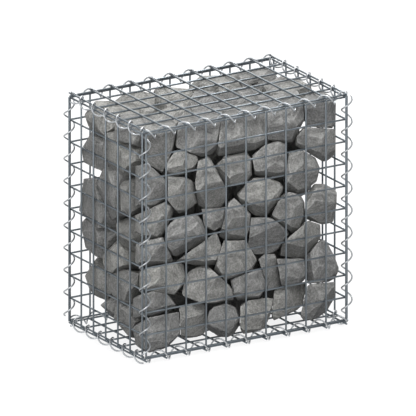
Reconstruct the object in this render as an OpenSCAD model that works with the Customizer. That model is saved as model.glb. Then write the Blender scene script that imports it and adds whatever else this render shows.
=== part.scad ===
// Gabion: a box of welded steel mesh, laced along its edges with wire spirals and filled with broken stone.
// +X runs along the length, the front faces -Y and +Z is up.
// The origin is on the ground under the middle of the box. Sizes are in millimetres.

/* [Mesh] */
// Spacing of the mesh wires, centre to centre
mesh_pitch = 50; // [46:1:56]
// Mesh cells along the length
cells_x = 10; // [9:1:11]
// Mesh cells along the depth
cells_y = 6; // [6:1:7]
// Mesh cells up the height
cells_z = 10; // [9:1:11]
// Diameter of a mesh wire
wire_d = 4; // [3.4:0.1:4.4]
// Depth by which crossing wires sink into each other at a weld
weld_sink = 0.3; // [0.2:0.05:0.5]
// Length of the cut wire ends beyond the front and back edges of the lid and the base
stub_len = 9.5; // [8:0.5:10]

/* [Lacing] */
// Outside diameter of a lacing spiral
spiral_d = 26; // [25:0.5:28]
// Diameter of the spiral's wire
lace_d = 3; // [2.6:0.1:3.4]
// Clearance between two pieces that bear on each other
fit_gap = 0.3; // [0.2:0.05:0.4]

/* [Stone] */
// Clearance between neighbouring stones
stone_gap = 0.4; // [0.3:0.1:0.8]
// Size of every stone against the space it takes
stone_swell = 1.06; // [1.04:0.01:1.12]
// Number that picks the pattern of broken faces
break_pattern = 8; // [1:1:40]

/* [Hidden] */
wire_r = wire_d/2;
lace_r = lace_d/2;
layer = wire_d - weld_sink;
fill = [cells_x, cells_y, cells_z]*mesh_pitch;
half = fill/2;

// Wire layers of the walls, counted outwards from the fill
step_in = wire_r + fit_gap;
step_out = step_in + layer;
// Wire layers of the lid and the base, counted outwards from the edge wires of the walls
cover_in = wire_d + fit_gap;
cover_out = cover_in + layer;
cover_reach = step_out - wire_r - fit_gap;

// Spiral centre line
coil_r = spiral_d/2 - lace_r;
coil_in = coil_r - lace_r;
turn = 360/mesh_pitch;
rise = mesh_pitch/(2*PI);

// Heights: the lower spirals stand on the ground
drop = wire_r + lace_r/10;
low_z = spiral_d/2;
base_z = low_z + drop;
top_z = base_z + fill.z;
mid_z = base_z + half.z;
high_z = top_z + cover_out + wire_r + fit_gap + lace_r - coil_r;

// Lower spirals bear on the ends of the wall wires and pass beside the cut ends of the base wires
low_off = step_out + wire_r + fit_gap + lace_r - coil_r;
stub_drop = cover_out - drop;
stub_turn = asin(stub_drop/coil_r);
stub_slope = coil_r*cos(stub_turn)/norm([rise, coil_r*cos(stub_turn)]);
low_phase = (wire_r + lace_r + 2*fit_gap)/stub_slope*turn - stub_turn;
// Upper spirals lie on the lid wires
high_off = step_in/2;
// Upright spirals lean against one of their two edge wires
pair = norm([step_out, step_out])/2;
lean = (coil_in - wire_r - fit_gap - pair)/norm([1, 1]);
up_x = half.x + step_out/2 + lean;
up_y = half.y + step_out/2 - lean;
// The front left one is drawn in against both, the left ones to the outer wire of the base and the lid
hold = coil_in - wire_r - fit_gap;
snug = sqrt(hold*hold - pair*pair)/sqrt(2) - step_out/2;
left_off = sqrt(hold*hold - stub_drop*stub_drop);
left_high = top_z + cover_out - sqrt(hold*hold - low_off*low_off);

// Straight wires of eight sides, centred on p and of length l
module wire_z(p, l) {
  translate(p) rotate([0, 0, 22.5]) cylinder(h = l, r = wire_r/cos(22.5), center = true, $fn = 8);
}
module wire_x(p, l) {
  translate(p) rotate([0, 90, 0]) wire_z([0, 0, 0], l);
}
module wire_y(p, l) {
  translate(p) rotate([90, 0, 0]) wire_z([0, 0, 0], l);
}

// Front or back wall: upright wires outside, level wires inside
module long_wall(s) {
  color([0.45, 0.48, 0.52]) union() {
    for (i = [0:cells_x])
      wire_z([i*mesh_pitch - half.x, s*(half.y + step_out), mid_z], fill.z + wire_d);
    for (k = [0:cells_z])
      wire_x([0, s*(half.y + step_in), base_z + k*mesh_pitch], fill.x);
  }
}

// Left or right wall: upright wires outside, level wires inside
module end_wall(s) {
  color([0.45, 0.48, 0.52]) union() {
    for (j = [0:cells_y])
      wire_z([s*(half.x + step_out), j*mesh_pitch - half.y, mid_z], fill.z + wire_d);
    for (k = [0:cells_z])
      wire_y([s*(half.x + step_in), 0, base_z + k*mesh_pitch], fill.y);
  }
}

// Lid or base: the wires across the depth lie outside and run past the edges
module cover(z, s) {
  color([0.45, 0.48, 0.52]) union() {
    for (j = [0:cells_y])
      wire_x([0, j*mesh_pitch - half.y, z + s*cover_in], fill.x + 2*cover_reach);
    for (i = [0:cells_x])
      wire_y([i*mesh_pitch - half.x, 0, z + s*cover_out], fill.y + 2*stub_len);
  }
}

// Right-handed wire spiral about Z with one turn to a mesh cell
// start is its angle at the lower end of its edge, from and to cut degrees off its two ends
coil_steps = 12;
coil_sides = 5;
function coil_at(a, t) = [coil_r*cos(a), coil_r*sin(a), t/turn];
function coil_ring(a, t) =
  let (dir = [-coil_r*sin(a), coil_r*cos(a), rise]/norm([coil_r, rise]))
  let (out = [cos(a), sin(a), 0])
  let (side = cross(dir, out))
  [for (k = [0:coil_sides - 1])
    let (f = 360*k/coil_sides)
    coil_at(a, t) + lace_r*(cos(f)*out + sin(f)*side)];
module spiral(cells, start, from = 0, to = 0) {
  span = 360*cells - from - to;
  n = ceil(span/360*coil_steps);
  rings = [for (i = [0:n]) let (t = from + span*i/n) coil_ring(start + t, t)];
  points = [for (r = rings) for (p = r) p];
  m = coil_sides;
  faces = concat(
    [[for (k = [0:m - 1]) k]],
    [for (i = [0:n - 1]) for (k = [0:m - 1])
      [i*m + k, (i + 1)*m + k, (i + 1)*m + (k + 1)%m]],
    [for (i = [0:n - 1]) for (k = [0:m - 1])
      [i*m + k, (i + 1)*m + (k + 1)%m, i*m + (k + 1)%m]],
    [[for (k = [m - 1:-1:0]) n*m + k]]);
  color([0.62, 0.65, 0.69]) translate([0, 0, -cells*mesh_pitch/2]) polyhedron(points, faces);
}
module spiral_x(p, start, from = 0, to = 0) {
  translate(p) rotate([0, 90, 0]) spiral(cells_x, start, from, to);
}
module spiral_y(p, start, from = 0, to = 0) {
  translate(p) rotate([-90, 0, 0]) spiral(cells_y, start, from, to);
}
module spiral_z(p, start, from = 0, to = 0) {
  translate(p) spiral(cells_z, start, from, to);
}

// Stones against the front, lowest course first, in cells of a box of 10 by 6 by 10
// Each has its distance from the mesh and the corners of its outline: x, z and the width of a wide bevel
face_1 = [
  [0.10, [[-5.60, 1.40], [-4.80, 1.75], [-3.45, 1.74], [-3.00, 1.55], [-3.00, 1.00], [-3.50, 0.60],
    [-4.00, 0.25], [-4.75, 0.18], [-5.40, 0.50]]],
  [0.40, [[-3.55, 1.85], [-2.95, 1.97], [-2.15, 1.93], [-1.97, 1.75, 0.30], [-1.97, 0.70],
    [-2.15, 0.56, 0.35], [-2.70, 0.50, 0.35], [-3.45, 0.58]]],
  [0.08, [[-1.82, 1.20], [-1.70, 1.62], [-0.95, 1.70], [-0.50, 1.42], [-0.20, 0.80, 0.30],
    [-0.55, 0.35, 0.30], [-0.85, 0.13, 0.40], [-1.35, 0.40, 0.40], [-1.85, 0.80]]],
  [0.08, [[-0.25, 1.45], [0.20, 1.65], [0.95, 1.62], [1.50, 1.45, 0.25], [1.20, 0.70, 0.25],
    [0.90, 0.16, 0.30], [0.00, 0.20], [-0.25, 0.60]]],
  [0.70, [[1.40, 1.88], [3.00, 1.95], [3.10, 1.20], [2.60, 0.88], [1.50, 0.62], [1.30, 1.00]]],
  [0.08, [[3.15, 1.90], [4.45, 1.78], [4.50, 1.15, 0.55], [4.10, 0.60, 0.55], [3.40, 0.22],
    [3.05, 0.28, 0.40], [2.70, 0.75, 0.40], [2.85, 1.30]]]];
face_2 = [
  [0.15, [[-5.60, 2.70], [-4.50, 2.92], [-3.98, 2.75], [-3.50, 2.08], [-3.95, 1.92, 0.25],
    [-4.65, 1.78, 0.25], [-5.60, 1.95]]],
  [0.06, [[-3.15, 2.55, 0.20], [-2.85, 3.40, 0.20], [-2.20, 3.60, 0.40], [-1.80, 3.52], [-1.00, 2.75],
    [-0.55, 2.15], [-0.60, 1.88], [-1.70, 1.88], [-2.20, 2.00]]],
  [0.15, [[-0.75, 2.72], [-0.20, 2.88], [0.40, 2.95], [0.98, 2.90], [1.00, 2.10], [0.65, 1.68, 0.25],
    [-0.30, 1.82], [-0.60, 2.10]]],
  [0.35, [[0.60, 3.35], [1.00, 3.55], [1.45, 3.50], [1.65, 3.10], [1.78, 2.10], [1.08, 1.95]]],
  [0.30, [[1.60, 3.30], [2.60, 3.15], [2.98, 3.00], [3.08, 2.20], [2.90, 2.02], [1.82, 2.02]]],
  [0.06, [[3.10, 3.10], [3.75, 3.76], [4.05, 3.62], [4.35, 3.05], [4.75, 2.25], [4.55, 2.00],
    [4.10, 1.85], [3.20, 1.90, 0.50], [3.08, 2.40, 0.50]]]];
face_3 = [
  [0.12, [[-5.20, 3.85], [-4.40, 4.02], [-3.38, 4.02, 0.25], [-3.12, 3.80, 0.25], [-3.00, 3.10],
    [-3.60, 2.55], [-4.30, 2.75], [-5.20, 3.05]]],
  [0.12, [[-3.50, 4.15], [-1.85, 4.95], [-1.45, 5.02], [-1.15, 4.30], [-1.20, 3.90], [-1.40, 3.62, 0.30],
    [-2.10, 3.68, 0.30], [-3.20, 4.00]]],
  [0.06, [[-1.10, 4.55], [0.00, 4.38], [0.25, 4.05], [0.62, 3.35, 0.30], [0.40, 3.00, 0.25],
    [-0.10, 2.85, 0.25], [-0.88, 2.75], [-1.30, 3.05, 0.30], [-1.60, 3.50], [-1.40, 4.00]]],
  [0.06, [[2.20, 4.25], [2.95, 4.70], [3.30, 4.70], [3.72, 4.50], [3.75, 3.80, 0.50], [3.10, 3.22, 0.60],
    [2.60, 3.15, 0.75], [1.85, 3.42, 0.30], [1.88, 3.90]]],
  [0.06, [[0.35, 5.30], [1.05, 5.25], [1.50, 5.05], [2.00, 4.72, 0.25], [2.22, 4.30, 0.25],
    [1.90, 3.95, 0.35], [1.50, 3.62, 0.35], [0.50, 3.70], [0.22, 4.20]]]];
face_4 = [
  [0.10, [[-5.40, 5.10], [-4.75, 5.27], [-4.15, 5.28], [-3.95, 4.98], [-3.58, 4.15, 0.40],
    [-4.00, 4.02, 0.40], [-5.40, 4.20]]],
  [0.06, [[-3.82, 5.70], [-3.40, 5.95], [-2.50, 5.95, 0.25], [-2.15, 5.65, 0.25], [-1.92, 5.05],
    [-1.95, 4.62, 0.40], [-2.55, 4.45, 0.65], [-3.50, 4.30, 0.30], [-3.78, 4.55], [-3.88, 5.00]]],
  [0.06, [[-0.95, 6.10], [-0.48, 6.40], [-0.10, 6.02], [0.25, 5.50], [0.22, 4.90], [0.02, 4.45, 0.50],
    [-0.90, 4.60, 0.50], [-1.35, 4.95], [-1.15, 5.60]]],
  [0.06, [[1.80, 6.00], [2.20, 6.20], [2.70, 6.00], [2.98, 5.50], [2.98, 5.05], [2.65, 4.35, 0.45],
    [2.20, 4.40, 0.45], [1.55, 4.95], [1.38, 5.30]]],
  [0.06, [[3.05, 5.80, 0.35], [3.50, 6.28, 0.35], [3.95, 6.20, 0.35], [4.60, 5.80], [4.50, 4.50, 0.42],
    [3.70, 4.52, 0.42], [3.05, 4.85]]],
  [0.50, [[-2.10, 6.20], [-1.00, 6.10], [-0.98, 5.30], [-1.50, 5.12], [-2.00, 5.40]]]];
face_5 = [
  [0.06, [[-5.40, 6.50], [-3.95, 6.85], [-3.55, 6.50, 0.35], [-3.75, 5.95, 0.35], [-4.10, 5.40, 0.30],
    [-4.40, 5.22, 0.30], [-4.90, 5.40], [-5.40, 5.80]]],
  [0.06, [[-0.33, 6.50], [0.10, 6.90], [0.50, 7.10], [1.05, 7.02], [1.75, 6.65], [1.92, 6.40],
    [1.50, 5.65, 0.40], [1.10, 5.32, 0.45], [0.65, 5.42, 0.45], [-0.15, 6.00]]],
  [0.08, [[-2.35, 8.45], [-1.85, 8.45], [-1.50, 7.95], [-1.00, 7.05], [-1.00, 6.40], [-1.25, 6.12],
    [-1.80, 6.12, 0.60], [-2.35, 6.50], [-2.50, 7.50]]],
  [0.08, [[-3.88, 7.90], [-3.00, 7.70], [-2.55, 7.40, 0.25], [-2.45, 7.00], [-2.45, 6.50, 0.30],
    [-2.90, 6.22, 0.30], [-3.38, 6.22], [-3.90, 6.85]]],
  [0.06, [[2.25, 7.98], [3.00, 8.00], [3.50, 7.45], [3.70, 7.00], [3.55, 6.45], [2.90, 6.12, 0.40],
    [2.60, 6.08, 0.50], [2.10, 6.40], [2.10, 7.20]]]];
face_6 = [
  [0.10, [[-5.40, 8.60], [-4.80, 8.65, 0.45], [-3.95, 7.90], [-3.95, 6.95, 0.30], [-4.60, 6.65, 0.30],
    [-5.40, 6.90]]],
  [0.06, [[-1.45, 7.95], [-1.00, 8.30, 0.20], [0.05, 8.30], [0.28, 8.00, 0.12], [0.30, 7.30],
    [0.05, 7.05], [-0.95, 7.00, 0.45]]],
  [0.06, [[0.40, 8.10], [1.05, 8.50], [1.70, 8.55], [2.00, 8.35], [2.05, 7.90], [2.00, 7.05],
    [1.60, 7.00, 0.30], [1.05, 7.08, 0.30], [0.55, 7.30]]],
  [0.06, [[2.60, 8.60], [3.05, 8.98], [3.85, 8.85], [4.50, 8.70], [4.50, 7.55, 0.50], [4.10, 7.30, 0.40],
    [3.50, 7.45, 0.55], [2.58, 8.10]]],
  [0.06, [[-3.50, 8.95], [-2.60, 8.85], [-2.35, 8.45], [-2.35, 8.20, 0.25], [-2.75, 8.00, 0.25],
    [-3.40, 7.92, 0.25], [-3.75, 8.05], [-3.95, 8.35], [-3.85, 8.65]]]];
face_7 = [
  [0.08, [[-4.95, 10.6], [-3.60, 10.8], [-3.40, 9.70], [-3.55, 9.05], [-4.10, 8.10, 0.60],
    [-4.70, 8.50, 0.60], [-4.95, 8.95]]],
  [0.06, [[-3.30, 10.8], [-1.10, 10.8], [-1.20, 9.90], [-1.45, 8.75, 0.35], [-1.85, 8.55, 0.35],
    [-2.40, 8.50, 0.20], [-3.45, 9.05]]],
  [0.06, [[-1.05, 10.8], [1.10, 10.8], [1.12, 9.30], [1.05, 8.65, 0.45], [0.50, 8.42, 0.50],
    [-1.25, 8.42, 0.20], [-1.40, 8.70]]],
  [0.06, [[1.15, 10.8], [2.70, 10.8], [2.95, 9.70], [2.98, 9.30], [2.55, 8.60, 0.40], [2.40, 8.42, 0.40],
    [1.95, 8.50, 0.40], [1.15, 8.70]]],
  [0.06, [[2.95, 10.8], [4.60, 10.8], [4.70, 10.0, 0.55], [4.55, 9.00, 0.35], [4.40, 8.72, 0.30],
    [3.85, 8.75, 0.20], [3.10, 9.02], [2.98, 9.60]]]];

// A front stone widens to its waist and narrows to the back, which lies to the right of its front and lower
lie = [0.61, -0.38];
least_bevel = 0.08;
outline_swell = 1.3*(stone_swell - 1);
function ends(o, k) = [min([for (q = o) q[k]]), max([for (q = o) q[k]])];
function mean(o, k) = (ends(o, k)[0] + ends(o, k)[1])/2;
function width(o, k) = ends(o, k)[1] - ends(o, k)[0];
function depth_of(o) = min(2.05, max(1.35, 0.62*(width(o, 0) + width(o, 1))));
function faced(s) =
  let (o = s[1])
  let (d = depth_of(o))
  let (t = s[0] + 0.45*d)
  [mean(o, 0) + lie[0]*t, t - 3, mean(o, 1) + lie[1]*t, width(o, 0)/2, d/2, width(o, 1)/2, s[0], o];

// Stones against the left end: middle and half size in the same cells
side_stones = [
  [[-3.70, 0.15, 1.25, 1.00, 0.80, 0.70], [-4.00, -0.90, 1.25, 1.00, 0.80, 0.72]],
  [[-4.00, 1.25, 2.30, 1.00, 1.00, 0.72], [-4.10, -0.80, 2.45, 1.00, 1.05, 0.52]],
  [[-4.00, 1.50, 4.00, 1.00, 1.20, 0.80], [-4.05, 0.10, 3.50, 1.00, 0.90, 0.50]],
  [[-4.00, 1.50, 5.65, 1.00, 1.27, 1.00], [-3.60, -0.55, 4.80, 1.00, 0.80, 0.78]],
  [[-4.00, 0.20, 6.45, 1.00, 1.10, 1.20], [-4.10, -1.10, 6.60, 0.90, 0.65, 0.75]],
  [[-4.00, 1.30, 7.85, 1.00, 1.05, 0.92], [-4.05, -0.35, 8.30, 1.00, 1.25, 0.70]],
  [[-4.00, 1.30, 9.35, 1.00, 1.05, 0.70], [-4.05, -0.85, 9.45, 0.95, 0.75, 0.55]]];

// Stones of the middle and the back, in even layers that are shifted a little
function packed(c) = [for (j = [0:1]) for (i = [0:3])
  let (r = rands(-0.15, 0.15, 3, break_pattern*100 + 10*c + 4*j + i))
  [-2.15 + 1.95*i + 0.5*((c + j)%2 - 0.5) + r[0], 0.05 + 1.95*j + r[1], 0.95 + 1.62*c + r[2],
    1.02, 1.02, 0.86]];

faces_of = [face_1, face_2, face_3, face_4, face_5, face_6, face_7];
layer_of = [0, 1, 2, 3, undef, 4, 5];
courses = [for (c = [0:6]) concat([for (s = faces_of[c]) faced(s)], side_stones[c],
  is_undef(layer_of[c]) ? [] : packed(layer_of[c]))];
all_stones = [for (c = courses) for (s = c) s];
first = [for (c = 0, n = 0; c < len(courses); n = n + len(courses[c]), c = c + 1) n];
unit = [fill.x/10, fill.y/6, fill.z/10];
function middle(s) = [s[0]*unit.x, s[1]*unit.y, base_z + s[2]*unit.z];
function extent(s) = stone_swell*[s[3]*unit.x, s[4]*unit.y, s[5]*unit.z];

// Distance from a stone's middle to its surface plane in direction n, between an ellipsoid and a box
blunt = 1.7;
function spread(h, n) =
  pow(pow(abs(h.x*n.x), blunt) + pow(abs(h.y*n.y), blunt) + pow(abs(h.z*n.z), blunt), 1/blunt);

// Everything on the near side of a plane through p with normal n
block = 6*mesh_pitch;
module behind(p, n) {
  translate(p) rotate([0, acos(n.z), atan2(n.y, n.x)]) translate([0, 0, -block/2])
    cube(block, center = true);
}

// Room for the stones inside the mesh, bevelled along the edges for the spirals
bevel = (spiral_d/2 + fit_gap)*sqrt(2) + max(wire_r, 2*snug);
tall = fill.z/2 + cover_in - wire_r - fit_gap;
far = fill.x + fill.z;
function bevelled(a, b) = [[-a + bevel, -b], [a - bevel, -b], [a, -b + bevel], [a, b - bevel],
  [a - bevel, b], [-a + bevel, b], [-a, b - bevel], [-a, -b + bevel]];
module room_plan() {
  translate([0, 0, mid_z]) linear_extrude(far, center = true) polygon(bevelled(half.x, half.y));
}
module room_front() {
  translate([0, 0, mid_z]) rotate([90, 0, 0]) linear_extrude(far, center = true)
    polygon(bevelled(half.x, tall));
}
module room_end() {
  translate([0, 0, mid_z]) rotate([90, 0, 90]) linear_extrude(far, center = true)
    polygon(bevelled(half.y, tall));
}

// One broken stone: flat faces that are spread about it unevenly, cut back from its neighbours
faces_each = 12;
golden = 360*(1 - 2/(1 + sqrt(5)));
function heading(k, q) =
  let (z = 1 - (2*k + 1)/faces_each)
  let (a = q[0] + k*golden)
  let (r = sqrt(1 - z*z))
  let (v = [r*cos(a), r*sin(a), z])
  let (w = [v.x, v.y*cos(q[1]) - v.z*sin(q[1]), v.y*sin(q[1]) + v.z*cos(q[1])])
  [w.x*cos(q[2]) - w.y*sin(q[2]), w.x*sin(q[2]) + w.y*cos(q[2]), w.z];
function break_face(p, h, v, k) = let (n = v/norm(v)) [p + k*spread(h, n)*n, n];
function breaks(p, h, q, r) = [for (k = [0:faces_each - 1])
  break_face(p, h, heading(k, q) + 0.22*[r[4*k], r[4*k + 1], r[4*k + 2]], 0.93 + 0.09*r[4*k + 3])];
function parting(i, p, h) = [for (j = [0:len(all_stones) - 1])
  let (v = middle(all_stones[j]) - p)
  let (d = norm(v))
  if (j != i && d < 4*mesh_pitch && !(is_faced(i) && is_faced(j)))
    let (n = v/d)
    let (a = spread(h, n))
    let (b = spread(extent(all_stones[j]), n))
    [p + n*(d*a/(a + b) - stone_gap/2), n]];

// Face of a front stone where a*x + b*z + c*t = d, with x and z on its outline and t inwards from the mesh
function is_faced(i) = len(all_stones[i]) > 6;
function face_plane(s, a, b, c, d) =
  let (n = [a, c - lie[0]*a - lie[1]*b, b])
  let (v = [s[0], s[1], s[2]])
  let (q = v + n*(d - 3*n.y - n*v)/(n*n))
  let (m = [n.x/unit.x, n.y/unit.y, n.z/unit.z])
  [[q.x*unit.x, q.y*unit.y, base_z + q.z*unit.z], m/norm(m)];
function side_of(o, k) =
  let (p = o[k])
  let (q = o[(k + 1)%len(o)])
  let (m = [p[1] - q[1], q[0] - p[0]])
  [m/norm(m), m*[p[0], p[1]]/norm(m)];
function front_faces(s, r) =
  let (o = s[7])
  let (d = depth_of(o))
  let (waist = s[6] + 0.36*d)
  let (turn = 90 + 70*r[0])
  let (mid = [mean(o, 0), mean(o, 1)])
  let (apex = mid + 0.22*[r[1]*width(o, 0), r[4]*width(o, 1)])
  let (back = [0.3*r[2], 0.3*r[3]])
  concat(
    [for (k = [0:2])
      let (g = (0.34 + 0.22*r[28 + k])*[cos(turn + 120*k), sin(turn + 120*k)])
      face_plane(s, g[0], g[1], -1, g*apex - s[6])],
    [face_plane(s, back[0], back[1], 1, back*mid + s[6] + d)],
    ends(o, 1)[1] < 10 ? []
      : [face_plane(s, 0.1*r[4], 1, lie[1] + 0.1*r[5], 9.98 + 0.1*r[4]*mid[0] + 0.1*r[5]*waist)],
    [for (k = [0:len(o) - 1])
      let (m = side_of(o, k))
      let (w = is_undef(o[k][2]) ? least_bevel + 0.05*abs(r[6 + k]) : o[k][2])
      face_plane(s, m[0][0], m[0][1], -w/waist, m[1] + outline_swell - w)],
    [for (k = [0:len(o) - 1])
      let (m = side_of(o, k))
      let (b = 0.32 + 0.2*r[18 + k])
      face_plane(s, m[0][0], m[0][1], b, m[1] + outline_swell + b*waist)]);

// Plane between two front stones, along the side of one that keeps them furthest apart
function apart(o, q) =
  let (gaps = [for (k = [0:len(o) - 1])
    let (m = side_of(o, k)) min([for (v = q) m[0]*[v[0], v[1]]]) - m[1]])
  let (best = max(gaps))
  [best, search(best, gaps)[0]];
function front_parting(i) = [for (j = [0:len(all_stones) - 1])
  if (j != i && is_faced(j) && abs(all_stones[i][0] - all_stones[j][0]) < 3
    && abs(all_stones[i][2] - all_stones[j][2]) < 3)
    let (o = all_stones[i][7])
    let (q = all_stones[j][7])
    let (a = apart(o, q))
    let (b = apart(q, o))
    let (m = a[0] >= b[0] ? side_of(o, a[1]) : -side_of(q, b[1]))
    let (shift = a[0] >= b[0] ? a[0]/2 : -b[0]/2)
    face_plane(all_stones[i], m[0][0], m[0][1], 0, m[1] + shift - stone_gap/2/mesh_pitch)];
module stone(i) {
  s = all_stones[i];
  p = middle(s);
  h = extent(s);
  seed = break_pattern*1000 + i;
  own = is_faced(i) ? concat(front_faces(s, rands(-1, 1, 31, seed)), front_parting(i))
    : breaks(p, h, rands(0, 360, 3, seed), rands(-1, 1, 4*faces_each, seed));
  intersection() {
    intersection_for (q = concat(own, parting(i, p, h))) behind(q[0], q[1]);
    room_plan();
    room_front();
    room_end();
  }
}
module course(c) {
  color([0.5, 0.49, 0.47]) for (i = [0:len(courses[c]) - 1]) stone(first[c] + i);
}

// Pieces of the gabion
module base_panel() { cover(base_z, -1); }
module lid_panel() { cover(top_z, 1); }
module front_panel() { long_wall(-1); }
module back_panel() { long_wall(1); }
module left_panel() { end_wall(-1); }
module right_panel() { end_wall(1); }
module stones_1() { course(0); }
module stones_2() { course(1); }
module stones_3() { course(2); }
module stones_4() { course(3); }
module stones_5() { course(4); }
module stones_6() { course(5); }
module stones_7() { course(6); }
module spiral_front_bottom() { spiral_x([0, -half.y - low_off, low_z], 270 - low_phase); }
module spiral_back_bottom() { spiral_x([0, half.y + low_off, low_z], 90 + low_phase); }
module spiral_left_bottom() { spiral_y([-half.x - left_off, 0, low_z], 80); }
module spiral_right_bottom() { spiral_y([half.x + low_off, 0, low_z], 0); }
module spiral_front_left() { spiral_z([-half.x + snug, -half.y + snug, mid_z], 149, 60, 0); }
module spiral_front_right() { spiral_z([up_x, -up_y, mid_z], 6, 60, 0); }
module spiral_back_left() { spiral_z([-up_x, up_y, mid_z], 51, 60, 0); }
module spiral_back_right() { spiral_z([up_x, up_y, mid_z], 314, 60, 0); }
module spiral_front_top() { spiral_x([0, -half.y - high_off, high_z], 180); }
module spiral_back_top() { spiral_x([0, half.y + high_off, high_z], 180); }
module spiral_left_top() { spiral_y([-half.x - low_off, 0, left_high], 180, 40, 40); }
module spiral_right_top() { spiral_y([half.x + high_off, 0, high_z], 270, 40, 40); }

base_panel();
front_panel();
back_panel();
left_panel();
right_panel();
lid_panel();
stones_1();
stones_2();
stones_3();
stones_4();
stones_5();
stones_6();
stones_7();
spiral_front_bottom();
spiral_back_bottom();
spiral_left_bottom();
spiral_right_bottom();
spiral_front_left();
spiral_front_right();
spiral_back_left();
spiral_back_right();
spiral_front_top();
spiral_back_top();
spiral_left_top();
spiral_right_top();
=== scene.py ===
import math
import random

import bmesh
import bpy
from mathutils import Matrix, Vector, noise


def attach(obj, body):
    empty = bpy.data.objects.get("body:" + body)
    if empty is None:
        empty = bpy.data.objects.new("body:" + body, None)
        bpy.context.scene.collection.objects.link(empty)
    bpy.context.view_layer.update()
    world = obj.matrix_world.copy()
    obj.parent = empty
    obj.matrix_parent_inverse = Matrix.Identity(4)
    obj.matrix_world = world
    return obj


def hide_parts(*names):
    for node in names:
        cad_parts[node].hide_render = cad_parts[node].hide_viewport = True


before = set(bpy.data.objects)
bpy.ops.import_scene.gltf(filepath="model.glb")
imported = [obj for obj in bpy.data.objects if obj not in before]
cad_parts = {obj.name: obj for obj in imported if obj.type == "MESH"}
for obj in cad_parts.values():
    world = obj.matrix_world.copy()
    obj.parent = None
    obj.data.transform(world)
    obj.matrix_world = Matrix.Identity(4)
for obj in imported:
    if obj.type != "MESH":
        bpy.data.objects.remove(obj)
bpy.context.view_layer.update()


# Welded mesh panels: base, four walls and lid, six flat grids of drawn and galvanised steel wire.
# Two layers of straight wires cross every 50 mm and are spot welded there, which leaves a flattened bead.
# The walls have their uprights outside; the base's and the lid's wires across the depth run past the edges.
pitch = 0.050
cells_long, cells_deep, cells_high = 10, 6, 10
long_x, deep_y, high_z = 0.500, 0.300, 0.500
bottom = 0.01515
wire_r, wire_sides, wire_end_cut = 0.002, 12, 0.0005
inner, outer = 0.0023, 0.0060
cover_inner, cover_outer = 0.0043, 0.0080
cover_reach, stub = 0.0037, 0.0095
bead_r, bead_sides, bead_rings, bead_flatness = 0.0024, 8, 5, 0.55


def keep(bm, name):
    mesh = bpy.data.meshes.new(name)
    bm.to_mesh(mesh)
    bm.free()
    piece = bpy.data.objects.new(name, mesh)
    bpy.context.scene.collection.objects.link(piece)
    return piece


def along(axis):
    return {"x": Matrix.Rotation(math.radians(90), 4, "Y"), "y": Matrix.Rotation(math.radians(-90), 4, "X"),
            "z": Matrix.Identity(4)}[axis]


def straight_wire(bm, axis, middle, length):
    place = Matrix.Translation(middle) @ along(axis)
    made = bmesh.ops.create_cone(bm, cap_ends=True, segments=wire_sides, radius1=wire_r, radius2=wire_r,
                                 depth=length, matrix=place)
    rims = {e for v in made["verts"] for e in v.link_edges if any(len(f.verts) > 4 for f in e.link_faces)}
    bmesh.ops.bevel(bm, geom=list(rims), offset=wire_end_cut, offset_type="OFFSET", segments=1, profile=0.5,
                    affect="EDGES", clamp_overlap=True, material=-1)


def weld_bead(bm, weld, at, flat_axis):
    place = Matrix.Translation(at) @ along(flat_axis) @ Matrix.Diagonal((1, 1, bead_flatness, 1))
    made = bmesh.ops.create_uvsphere(bm, u_segments=bead_sides, v_segments=bead_rings, radius=bead_r,
                                     matrix=place)
    for v in made["verts"]:
        v[weld] = 1.0


def mesh_panel(name, node, flat_axis, first, second, weld_at):
    bm = bmesh.new()
    weld = bm.verts.layers.float.new("weld")
    for axis, middle, length in first + second:
        straight_wire(bm, axis, Vector(middle), length)
    for at in weld_at:
        weld_bead(bm, weld, Vector(at), flat_axis)
    for f in bm.faces:
        f.smooth = len(f.verts) < 6
    panel = keep(bm, name)
    panel.data.materials.append(zinc_wire)
    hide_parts(node)
    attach(panel, "root")


def uneven_finish():
    group = bpy.data.node_groups.new("uneven_finish", "ShaderNodeTree")
    face = group.interface
    face.new_socket("Place", in_out="INPUT", socket_type="NodeSocketVector")
    for label, way in (("Patch scale", "INPUT"), ("Grain scale", "INPUT"), ("Patches", "OUTPUT"),
                       ("Grain", "OUTPUT")):
        face.new_socket(label, in_out=way, socket_type="NodeSocketFloat")
    enter = group.nodes.new("NodeGroupInput")
    leave = group.nodes.new("NodeGroupOutput")
    for scale, put_out, detail, rough in (("Patch scale", "Patches", 5.0, 0.6),
                                          ("Grain scale", "Grain", 6.0, 0.7)):
        spots = group.nodes.new("ShaderNodeTexNoise")
        spots.inputs["Detail"].default_value = detail
        spots.inputs["Roughness"].default_value = rough
        group.links.new(enter.outputs["Place"], spots.inputs["Vector"])
        group.links.new(enter.outputs[scale], spots.inputs["Scale"])
        group.links.new(spots.outputs["Fac"], leave.inputs[put_out])
    return group


finish_group = uneven_finish()


def new_material(name, patch_scale, grain_scale):
    material = bpy.data.materials.new(name)
    material.use_nodes = True
    tree = material.node_tree
    where = tree.nodes.new("ShaderNodeTexCoord")
    uneven = tree.nodes.new("ShaderNodeGroup")
    uneven.node_tree = finish_group
    uneven.inputs["Patch scale"].default_value = patch_scale
    uneven.inputs["Grain scale"].default_value = grain_scale
    tree.links.new(where.outputs["Object"], uneven.inputs["Place"])
    return material, tree, tree.nodes["Principled BSDF"], uneven


def ramp(tree, source, stops):
    band = tree.nodes.new("ShaderNodeValToRGB")
    band.color_ramp.elements[0].position, band.color_ramp.elements[0].color = stops[0][0], (*stops[0][1], 1)
    band.color_ramp.elements[1].position, band.color_ramp.elements[1].color = stops[-1][0], (*stops[-1][1], 1)
    for position, colour in stops[1:-1]:
        band.color_ramp.elements.new(position).color = (*colour, 1)
    tree.links.new(source, band.inputs["Fac"])
    return band.outputs["Color"]


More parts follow.
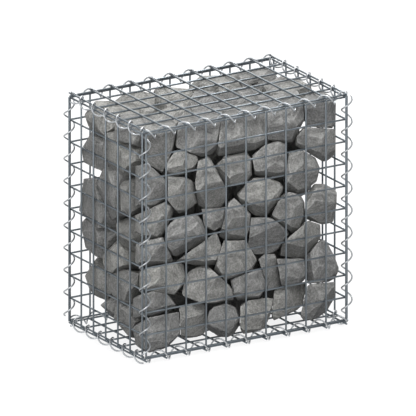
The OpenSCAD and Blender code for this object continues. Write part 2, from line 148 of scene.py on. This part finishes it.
def mixed(tree, way, amount, a, b):
    mix = tree.nodes.new("ShaderNodeMix")
    mix.data_type, mix.blend_type = "RGBA", way
    for socket, value in ((mix.inputs[0], amount), (mix.inputs[6], a), (mix.inputs[7], b)):
        if isinstance(value, (float, tuple)):
            socket.default_value = value
        else:
            tree.links.new(value, socket)
    return mix.outputs[2]


def spread_value(tree, source, low, high, to_low, to_high):
    span = tree.nodes.new("ShaderNodeMapRange")
    for label, value in (("From Min", low), ("From Max", high), ("To Min", to_low), ("To Max", to_high)):
        span.inputs[label].default_value = value
    tree.links.new(source, span.inputs["Value"])
    return span.outputs["Result"]


def raised(tree, height, distance, strength, under=None):
    bump = tree.nodes.new("ShaderNodeBump")
    bump.inputs["Distance"].default_value = distance
    bump.inputs["Strength"].default_value = strength
    tree.links.new(height, bump.inputs["Height"])
    if under is not None:
        tree.links.new(under, bump.inputs["Normal"])
    return bump.outputs["Normal"]


zinc_wire, tree, shader, uneven = new_material("zinc_wire", 70.0, 900.0)
shader.inputs["Metallic"].default_value = 0.85
beads = tree.nodes.new("ShaderNodeAttribute")
beads.attribute_name = "weld"
zinc = ramp(tree, uneven.outputs["Patches"], [(0.30, (0.112, 0.133, 0.149)), (0.70, (0.178, 0.202, 0.221))])
zinc = mixed(tree, "MIX", spread_value(tree, uneven.outputs["Grain"], 0.35, 0.75, 0.0, 0.35), zinc,
             (0.25, 0.272, 0.297, 1.0))
zinc = mixed(tree, "MIX", spread_value(tree, beads.outputs["Fac"], 0.0, 1.0, 0.0, 0.5), zinc,
             (0.100, 0.112, 0.124, 1.0))
tree.links.new(zinc, shader.inputs["Base Color"])
dullness = spread_value(tree, uneven.outputs["Patches"], 0.3, 0.7, 0.34, 0.50)
tree.links.new(dullness, shader.inputs["Roughness"])
tree.links.new(raised(tree, uneven.outputs["Grain"], 0.00015, 0.5), shader.inputs["Normal"])

across_x = [-long_x / 2 + pitch * i for i in range(cells_long + 1)]
across_y = [-deep_y / 2 + pitch * j for j in range(cells_deep + 1)]
up_z = [bottom + pitch * k for k in range(cells_high + 1)]
middle_z = bottom + high_z / 2
contact = (inner + outer) / 2
cover_contact = (cover_inner + cover_outer) / 2


def cover_panel(name, node, level, way):
    z_in, z_out, z_weld = level + way * cover_inner, level + way * cover_outer, level + way * cover_contact
    mesh_panel(name, node, "z",
               [("x", (0, y, z_in), long_x + 2 * cover_reach) for y in across_y],
               [("y", (x, 0, z_out), deep_y + 2 * stub) for x in across_x],
               [(x, y, z_weld) for x in across_x for y in across_y])


def long_panel(name, node, way):
    y_in, y_out, y_weld = [way * (deep_y / 2 + d) for d in (inner, outer, contact)]
    mesh_panel(name, node, "y",
               [("x", (0, y_in, z), long_x) for z in up_z],
               [("z", (x, y_out, middle_z), high_z + 2 * wire_r) for x in across_x],
               [(x, y_weld, z) for x in across_x for z in up_z])


def end_panel(name, node, way):
    x_in, x_out, x_weld = [way * (long_x / 2 + d) for d in (inner, outer, contact)]
    mesh_panel(name, node, "x",
               [("y", (x_in, 0, z), deep_y) for z in up_z],
               [("z", (x_out, y, middle_z), high_z + 2 * wire_r) for y in across_y],
               [(x_weld, y, z) for y in across_y for z in up_z])


cover_panel("base_mesh", "base_panel", bottom, -1)
long_panel("front_mesh", "front_panel", -1)
long_panel("back_mesh", "back_panel", 1)
end_panel("left_mesh", "left_panel", -1)
end_panel("right_mesh", "right_panel", 1)
cover_panel("lid_mesh", "lid_panel", bottom + high_z, 1)


# Stone fill: seven rough courses of broken grey quarry stone, set by hand against the mesh, loose between.
# Each stone has a few large flat fracture faces, chipped corners and edges, a sandy grain and faint bedding.
courses, first_seed = 7, 41
same_point, same_face = 0.00002, math.radians(1.5)
corner_chips, corner_chip_least, corner_chip_most = 9, 0.0010, 0.0045
edge_chips, edge_chip_least, edge_chip_most = 6, 0.0006, 0.0022
lean_least, lean_most = 0.6, 1.4
short_edge, worn_edge = 0.0022, 0.0006
widest_mesh, most_halvings = 0.0065, 7
dent_depth, pit_depth, chip_depth = 0.0006, 0.0004, 0.0011
dent_scale, pit_scale = 34.0, 95.0
chipped_turn, sharp_turn = 0.12, 0.2

quarry_stone, tree, shader, uneven = new_material("quarry_stone", 26.0, 260.0)
shader.inputs["Specular IOR Level"].default_value = 0.25
tone = tree.nodes.new("ShaderNodeAttribute")
tone.attribute_name = "tone"
chipped = tree.nodes.new("ShaderNodeAttribute")
chipped.attribute_name = "chipped"
grey = ramp(tree, uneven.outputs["Patches"],
            [(0.28, (0.205, 0.205, 0.202)), (0.50, (0.265, 0.265, 0.260)), (0.74, (0.335, 0.334, 0.328))])
grey = mixed(tree, "MULTIPLY", 1.0, grey,
             ramp(tree, uneven.outputs["Grain"], [(0.30, (0.46, 0.46, 0.46)), (0.68, (1.42, 1.42, 1.41))]))
grey = mixed(tree, "MULTIPLY", 1.0, grey,
             ramp(tree, tone.outputs["Fac"], [(0.0, (0.86, 0.86, 0.87)), (1.0, (1.12, 1.11, 1.08))]))
grey = mixed(tree, "MIX", spread_value(tree, chipped.outputs["Fac"], 0.3, 1.0, 0.0, 0.34), grey,
             (0.42, 0.418, 0.41, 1.0))
bed_place = tree.nodes.new("ShaderNodeTexCoord")
bed_slope = tree.nodes.new("ShaderNodeMapping")
bed_slope.inputs["Rotation"].default_value = (0.5, 0.9, 0.3)
bed_slope.inputs["Scale"].default_value = (30.0, 420.0, 60.0)
tree.links.new(bed_place.outputs["Object"], bed_slope.inputs["Vector"])
beds = tree.nodes.new("ShaderNodeTexNoise")
beds.inputs["Scale"].default_value = 1.0
beds.inputs["Detail"].default_value = 3.0
beds.inputs["Distortion"].default_value = 0.6
tree.links.new(bed_slope.outputs["Vector"], beds.inputs["Vector"])
grey = mixed(tree, "MULTIPLY", 1.0, grey,
             ramp(tree, beds.outputs["Fac"], [(0.34, (0.80, 0.80, 0.80)), (0.66, (1.16, 1.16, 1.15))]))
tree.links.new(grey, shader.inputs["Base Color"])
dullness = spread_value(tree, uneven.outputs["Grain"], 0.3, 0.7, 0.82, 0.97)
tree.links.new(dullness, shader.inputs["Roughness"])
sandy = raised(tree, uneven.outputs["Grain"], 0.0030, 0.8)
bedded = raised(tree, beds.outputs["Fac"], 0.0016, 0.6, sandy)
tree.links.new(raised(tree, uneven.outputs["Patches"], 0.004, 0.5, bedded), shader.inputs["Normal"])


def each_island(bm):
    left = set(bm.verts)
    while left:
        island, to_visit = set(), [left.pop()]
        while to_visit:
            v = to_visit.pop()
            island.add(v)
            for e in v.link_edges:
                neighbour = e.other_vert(v)
                if neighbour in left:
                    left.remove(neighbour)
                    to_visit.append(neighbour)
        yield island


def knock_off(stone, way, depth):
    reach = max(v.co.dot(way) for v in stone.verts)
    cut = bmesh.ops.bisect_plane(stone, geom=stone.verts[:] + stone.edges[:] + stone.faces[:],
                                 dist=same_point, plane_co=way * (reach - depth), plane_no=way,
                                 clear_outer=True)
    rim = [g for g in cut["geom_cut"] if isinstance(g, bmesh.types.BMEdge)]
    if len(rim) > 2:
        bmesh.ops.edgeloop_fill(stone, edges=rim)


def broken_stone(island, pick):
    stone = bmesh.new()
    for v in island:
        stone.verts.new(v.co)
    bmesh.ops.convex_hull(stone, input=stone.verts[:])
    bmesh.ops.dissolve_limit(stone, angle_limit=same_face, verts=stone.verts[:], edges=stone.edges[:])
    bmesh.ops.delete(stone, geom=[v for v in stone.verts if not v.link_faces], context="VERTS")
    for _ in range(corner_chips):
        way = Vector([pick.gauss(0, 1) for _ in range(3)])
        knock_off(stone, way.normalized(), pick.uniform(corner_chip_least, corner_chip_most))
    for _ in range(edge_chips):
        stone.edges.ensure_lookup_table()
        edge = stone.edges[pick.randrange(len(stone.edges))]
        if len(edge.link_faces) == 2:
            way = sum((f.normal * pick.uniform(lean_least, lean_most) for f in edge.link_faces), Vector())
            knock_off(stone, way.normalized(), pick.uniform(edge_chip_least, edge_chip_most))
    bmesh.ops.collapse(stone, edges=[e for e in stone.edges if e.calc_length() < short_edge])
    bmesh.ops.recalc_face_normals(stone, faces=stone.faces[:])
    bmesh.ops.bevel(stone, geom=stone.edges[:], offset=worn_edge, offset_type="OFFSET", segments=1,
                    profile=0.5, affect="EDGES", clamp_overlap=True, material=-1)
    return stone


def broken_stones(name, node, seed):
    pick = random.Random(seed)
    course = bmesh.new()
    course.from_mesh(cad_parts[node].data)
    bmesh.ops.remove_doubles(course, verts=course.verts[:], dist=same_point)
    bm = bmesh.new()
    tone = bm.verts.layers.float.new("tone")
    chipped = bm.verts.layers.float.new("chipped")
    for island in sorted(each_island(course), key=lambda s: min(v.index for v in s)):
        stone = broken_stone(sorted(island, key=lambda v: v.index), pick)
        part = bpy.data.meshes.new("stone")
        stone.to_mesh(part)
        stone.free()
        done = len(bm.verts)
        bm.from_mesh(part)
        bpy.data.meshes.remove(part)
        bm.verts.ensure_lookup_table()
        shade = pick.random()
        for v in bm.verts[done:]:
            v[tone] = shade
    course.free()
    bmesh.ops.triangulate(bm, faces=bm.faces[:])
    for _ in range(most_halvings):
        wide = [e for e in bm.edges if e.calc_length() > widest_mesh]
        if not wide:
            break
        bmesh.ops.subdivide_edges(bm, edges=wide, cuts=1)
        bmesh.ops.triangulate(bm, faces=[f for f in bm.faces if len(f.verts) > 3])
    for v in bm.verts:
        v[chipped] = float(any(e.calc_face_angle(0.0) > chipped_turn for e in v.link_edges))
    bm.normal_update()
    for v in bm.verts:
        dents = 0.5 + 0.5 * noise.noise(v.co * dent_scale)
        pits = max(0.0, noise.noise(v.co * pit_scale))
        v.co -= v.normal * (dent_depth * dents + pit_depth * pits + chip_depth * v[chipped] * pits)
    for e in bm.edges:
        e.smooth = e.calc_face_angle(0.0) < sharp_turn
    for f in bm.faces:
        f.smooth = True
    stones = keep(bm, name)
    stones.data.materials.append(quarry_stone)
    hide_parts(node)
    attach(stones, "root")


for level in range(courses):
    broken_stones(f"stone_course_{level + 1}", f"stones_{level + 1}", first_seed + level)


# Lacing spirals: one along each of the twelve edges, wound from thinner bright galvanised wire.
# Each is screwed in round the edge wires of two panels, one turn to a mesh cell, and cut off at its ends.
coil_r, lace_r = 0.0112, 0.0017
turn_steps, lace_sides = 30, 10
full_turn = 360.0
upright_cut, short_cut = 60.0, 40.0

bright_zinc, tree, shader, uneven = new_material("bright_zinc", 110.0, 1200.0)
shader.inputs["Metallic"].default_value = 0.92
zinc = ramp(tree, uneven.outputs["Patches"], [(0.30, (0.30, 0.315, 0.33)), (0.70, (0.43, 0.445, 0.46))])
zinc = mixed(tree, "MIX", spread_value(tree, uneven.outputs["Grain"], 0.35, 0.75, 0.0, 0.3), zinc,
             (0.58, 0.595, 0.61, 1.0))
tree.links.new(zinc, shader.inputs["Base Color"])
dullness = spread_value(tree, uneven.outputs["Patches"], 0.3, 0.7, 0.28, 0.38)
tree.links.new(dullness, shader.inputs["Roughness"])
tree.links.new(raised(tree, uneven.outputs["Grain"], 0.0001, 0.4), shader.inputs["Normal"])


def lacing_spiral(name, node, axis, middle, cells, start, cut_from=0.0, cut_to=0.0):
    span = full_turn * cells - cut_from - cut_to
    steps = round(span / full_turn * turn_steps)
    climb = pitch * span / full_turn
    lead = math.atan2(pitch, 2 * math.pi * coil_r)
    bm = bmesh.new()
    ring = Matrix.Translation((coil_r, 0, 0)) @ Matrix.Rotation(math.radians(-90) + lead, 4, "X")
    made = bmesh.ops.create_circle(bm, cap_ends=True, segments=lace_sides, radius=lace_r, matrix=ring)
    end_face = made["verts"][0].link_faces[0]
    bmesh.ops.spin(bm, geom=[end_face, *end_face.edges, *end_face.verts], cent=(0, 0, 0), axis=(0, 0, 1),
                   dvec=(0, 0, climb / steps), angle=math.radians(span), steps=steps, use_duplicate=False)
    turned = Matrix.Rotation(math.radians(start + cut_from), 4, "Z")
    lift = Matrix.Translation((0, 0, pitch * cut_from / full_turn - pitch * cells / 2))
    place = Matrix.Translation(middle) @ along(axis) @ lift @ turned
    bmesh.ops.transform(bm, matrix=place, verts=bm.verts[:])
    bmesh.ops.recalc_face_normals(bm, faces=bm.faces[:])
    for f in bm.faces:
        f.smooth = len(f.verts) == 4
    lacing = keep(bm, name)
    lacing.data.materials.append(bright_zinc)
    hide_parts(node)
    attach(lacing, "root")


low_level, high_level, left_high_level = 0.013, bottom + high_z + 0.0003, 0.51564
low_y, high_y = deep_y / 2 - 0.0017, deep_y / 2 + 0.00115
left_low_x, right_low_x, left_high_x, right_high_x = -0.2550, 0.2483, -0.2483, 0.25115
up_x, up_y = long_x / 2 + 0.00545, deep_y / 2 + 0.00055
near_x, near_y = -0.24845, -0.14845
lacing_spiral("lacing_front_bottom", "spiral_front_bottom", "x", (0, -low_y, low_level), cells_long, 265.0)
lacing_spiral("lacing_back_bottom", "spiral_back_bottom", "x", (0, low_y, low_level), cells_long, 95.0)
lacing_spiral("lacing_left_bottom", "spiral_left_bottom", "y", (left_low_x, 0, low_level), cells_deep, 80.0)
lacing_spiral("lacing_right_bottom", "spiral_right_bottom", "y", (right_low_x, 0, low_level), cells_deep, 0.0)
for corner, middle, start in (("front_left", (near_x, near_y, middle_z), 149.0),
                              ("front_right", (up_x, -up_y, middle_z), 6.0),
                              ("back_left", (-up_x, up_y, middle_z), 51.0),
                              ("back_right", (up_x, up_y, middle_z), 314.0)):
    lacing_spiral(f"lacing_{corner}", f"spiral_{corner}", "z", middle, cells_high, start, upright_cut)
lacing_spiral("lacing_front_top", "spiral_front_top", "x", (0, -high_y, high_level), cells_long, 180.0)
lacing_spiral("lacing_back_top", "spiral_back_top", "x", (0, high_y, high_level), cells_long, 180.0)
lacing_spiral("lacing_left_top", "spiral_left_top", "y", (left_high_x, 0, left_high_level), cells_deep, 180.0,
              short_cut, short_cut)
lacing_spiral("lacing_right_top", "spiral_right_top", "y", (right_high_x, 0, high_level), cells_deep, 270.0,
              short_cut, short_cut)


# Studio: a pale seamless floor under the basket, lit like a light table, which isn't part of it.
# Soft light comes from a bright surround and four large panels; two cards show only in reflections.
# The camera looks down on the near corner with no perspective.
floor_size, floor_drop = 12.0, 0.0005
aim = Vector((0, 0, 0.25))
looked_at, camera_reach, frame_width = Vector((0.0, 0.0, 0.266)), 3.0, 0.8885
azimuth, elevation = math.radians(-31.4), math.radians(18.1)

bm = bmesh.new()
bmesh.ops.create_grid(bm, x_segments=8, y_segments=8, size=floor_size,
                      matrix=Matrix.Translation((0, 0, -floor_drop)))
floor = keep(bm, "studio_floor")
pale_floor, tree, shader, uneven = new_material("pale_floor", 3.0, 60.0)
pale = ramp(tree, uneven.outputs["Patches"], [(0.2, (0.955, 0.955, 0.955)), (0.8, (0.985, 0.985, 0.985))])
tree.links.new(mixed(tree, "MULTIPLY", 1.0, pale, (0.12, 0.12, 0.12, 1.0)), shader.inputs["Base Color"])
tree.links.new(pale, shader.inputs["Emission Color"])
shader.inputs["Emission Strength"].default_value = 0.88
shader.inputs["Roughness"].default_value = 0.9
floor.data.materials.append(pale_floor)
floor.visible_diffuse = False

surround = bpy.data.worlds.new("bright_surround")
surround.use_nodes = True
tree = surround.node_tree
where = tree.nodes.new("ShaderNodeTexCoord")
height = tree.nodes.new("ShaderNodeSeparateXYZ")
tree.links.new(where.outputs["Generated"], height.inputs["Vector"])
sky = ramp(tree, spread_value(tree, height.outputs["Z"], -1.0, 1.0, 0.0, 1.0),
           [(0.40, (0.12, 0.12, 0.13)), (0.54, (0.62, 0.63, 0.64)), (0.90, (0.72, 0.72, 0.72))])
tree.links.new(sky, tree.nodes["Background"].inputs["Color"])
tree.nodes["Background"].inputs["Strength"].default_value = 1.02
bpy.context.scene.world = surround
bpy.context.scene.view_settings.view_transform = "Standard"


def light_panel(name, place, size, power):
    lamp = bpy.data.lights.new(name, "AREA")
    lamp.size = size
    lamp.energy = power
    stand = bpy.data.objects.new(name, lamp)
    stand.location = place
    stand.rotation_euler = (aim - Vector(place)).to_track_quat("-Z", "Y").to_euler()
    bpy.context.scene.collection.objects.link(stand)
    return stand


light_panel("key_panel", (-0.5, -1.7, 2.6), 1.0, 75.0).visible_glossy = False
light_panel("side_panel", (-2.0, -0.5, 1.9), 1.2, 19.0)
light_panel("front_panel", (-2.2, -3.6, 0.9), 2.2, 34.0).visible_camera = False
light_panel("rim_panel", (1.1, 2.1, 1.25), 1.8, 33.0)
for name, place, power in (("top_card", (1.3, 0.5, 2.5), 60.0), ("left_card", (-2.4, -1.0, 0.95), 14.0)):
    card = light_panel(name, place, 1.0, power)
    card.visible_camera = card.visible_diffuse = False

look = Vector((math.sin(azimuth) * math.cos(elevation), -math.cos(azimuth) * math.cos(elevation),
               math.sin(elevation)))
camera = bpy.data.objects.new("camera", bpy.data.cameras.new("camera"))
camera.data.type = "ORTHO"
camera.data.ortho_scale = frame_width
camera.location = looked_at + look * camera_reach
camera.rotation_euler = look.to_track_quat("Z", "Y").to_euler()
bpy.context.scene.collection.objects.link(camera)
bpy.context.scene.camera = camera
